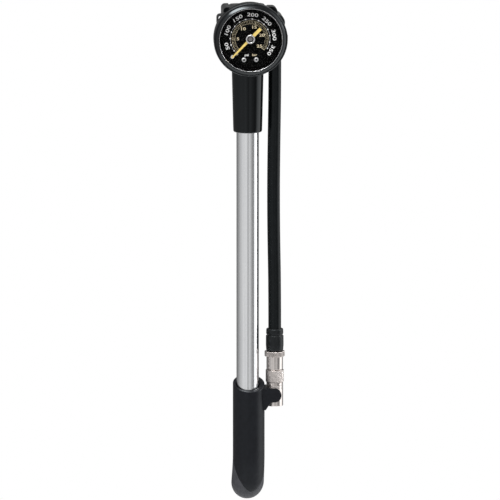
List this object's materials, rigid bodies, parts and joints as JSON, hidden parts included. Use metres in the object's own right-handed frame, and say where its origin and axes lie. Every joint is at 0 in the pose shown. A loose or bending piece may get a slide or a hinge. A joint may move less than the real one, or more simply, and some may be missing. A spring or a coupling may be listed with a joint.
{
  "type": "shock suspension pump",
  "caption": "Slim high-pressure hand pump for bicycle suspension, with a round dial gauge, a swivelling hose on a screw-on valve connector, a bleed button and a two-tone grip.",
  "frame": {"origin": "lowest point of the grip's round end, on the barrel's axis", "axes": "+Z along the barrel, head up; the dial faces -Y; the hose hangs on the +X side"},
  "size_m": [0.0388, 0.0298, 0.2625],
  "materials": {
    "grip": "fine matt, black",
    "cap": "soft grey",
    "head": "glossy black",
    "gauge": "glossy black",
    "button": "dark grey",
    "barrel": "satin, drawn",
    "rod": "polished",
    "steel": "bright",
    "brass": "machined",
    "nickel": "warm nickel plate",
    "needle": "gold yellow",
    "dial": "satin black print ground",
    "hose": "smooth black",
    "seal": "black rubber",
    "lens": "clear"
  },
  "bodies": {
    "handle": {"handle_shell": "grip", "end_cap": "cap", "hose_clip": "grip", "rod_anchor": "brass", "rod_screw": "steel", "piston_rod": "rod", "piston_head": "brass", "piston_seal": "seal", "piston_wear_ring": "seal"},
    "pump": {"barrel_tube": "barrel", "rod_guide": "grip", "rod_wiper": "seal", "head_body": "head", "barrel_seal": "seal", "valve_seat": "brass", "check_spring": "steel", "bleed_housing": "head", "bleed_seal": "seal", "bleed_spring": "steel", "swivel_housing": "head", "banjo_bolt": "nickel", "swivel_seal_back": "seal", "swivel_seal_front": "seal", "gauge_case": "gauge", "gauge_bezel": "gauge", "gauge_lens": "lens", "dial_plate": "dial", "dial_screw_left": "steel", "dial_screw_right": "steel", "movement_back": "brass", "movement_front": "brass", "gauge_socket": "brass", "bourdon_tube": "brass", "gauge_seal": "seal"},
    "poppet": {"check_poppet": "seal"},
    "bleed": {"bleed_button": "button", "bleed_pin": "steel"},
    "pointer": {"needle": "needle", "needle_hub": "steel", "pinion": "brass"},
    "sector": {"sector_gear": "brass"},
    "link": {"bourdon_link": "brass"},
    "hose_line": {"swivel_eye": "head", "hose_ferrule": "nickel", "hose": "hose", "hose_boot": "hose", "connector_flange": "nickel", "connector_body": "nickel", "valve_gasket": "seal", "depressor_pin": "brass"},
    "chuck": {"chuck_sleeve": "nickel"}
  },
  "joints": [
    {"name": "pump_stroke", "type": "slide", "parent": "handle", "child": "pump", "axis": [0, 0, 1], "range_m": [0, 0.165]},
    {"name": "check_valve", "type": "slide", "parent": "pump", "child": "poppet", "axis": [0, 0, 1], "range_m": [0, 0.001], "stiffness_N_per_m": 20, "deforming": ["check_spring"]},
    {"name": "bleed_press", "type": "slide", "parent": "pump", "child": "bleed", "axis": [1, 0, 0], "range_m": [0, 0.0012], "stiffness_N_per_m": 400, "deforming": ["bleed_spring"]},
    {"name": "needle_turn", "type": "hinge", "parent": "pump", "child": "pointer", "pos_m": [0, -0.014, 0.24365], "axis": [0, 1, 0], "range_deg": [0, 264.4], "stiffness_Nm_per_rad": 0.0002},
    {"name": "sector_turn", "type": "hinge", "parent": "pump", "child": "sector", "pos_m": [0.0041, -0.011, 0.23649], "axis": [0, 1, 0], "range_deg": [-26.44, 0]},
    {"name": "link_turn", "type": "hinge", "parent": "sector", "child": "link", "pos_m": [0.0071, -0.011, 0.23649], "axis": [0, 1, 0], "range_deg": [0, 26.44]},
    {"name": "hose_swivel", "type": "hinge", "parent": "pump", "child": "hose_line", "pos_m": [0.0143, 0.0025, 0.2508], "axis": [0, -1, 0], "range_deg": [0, 180]},
    {"name": "chuck_turn", "type": "hinge", "parent": "hose_line", "child": "chuck", "pos_m": [0.01427, 0.0025, 0.058], "axis": [0, 0, 1], "continuous": true}
  ],
  "couplings": [
    {"joint": "sector_turn", "follows": "needle_turn", "ratio": -0.1},
    {"joint": "link_turn", "follows": "needle_turn", "ratio": 0.1}
  ]
}
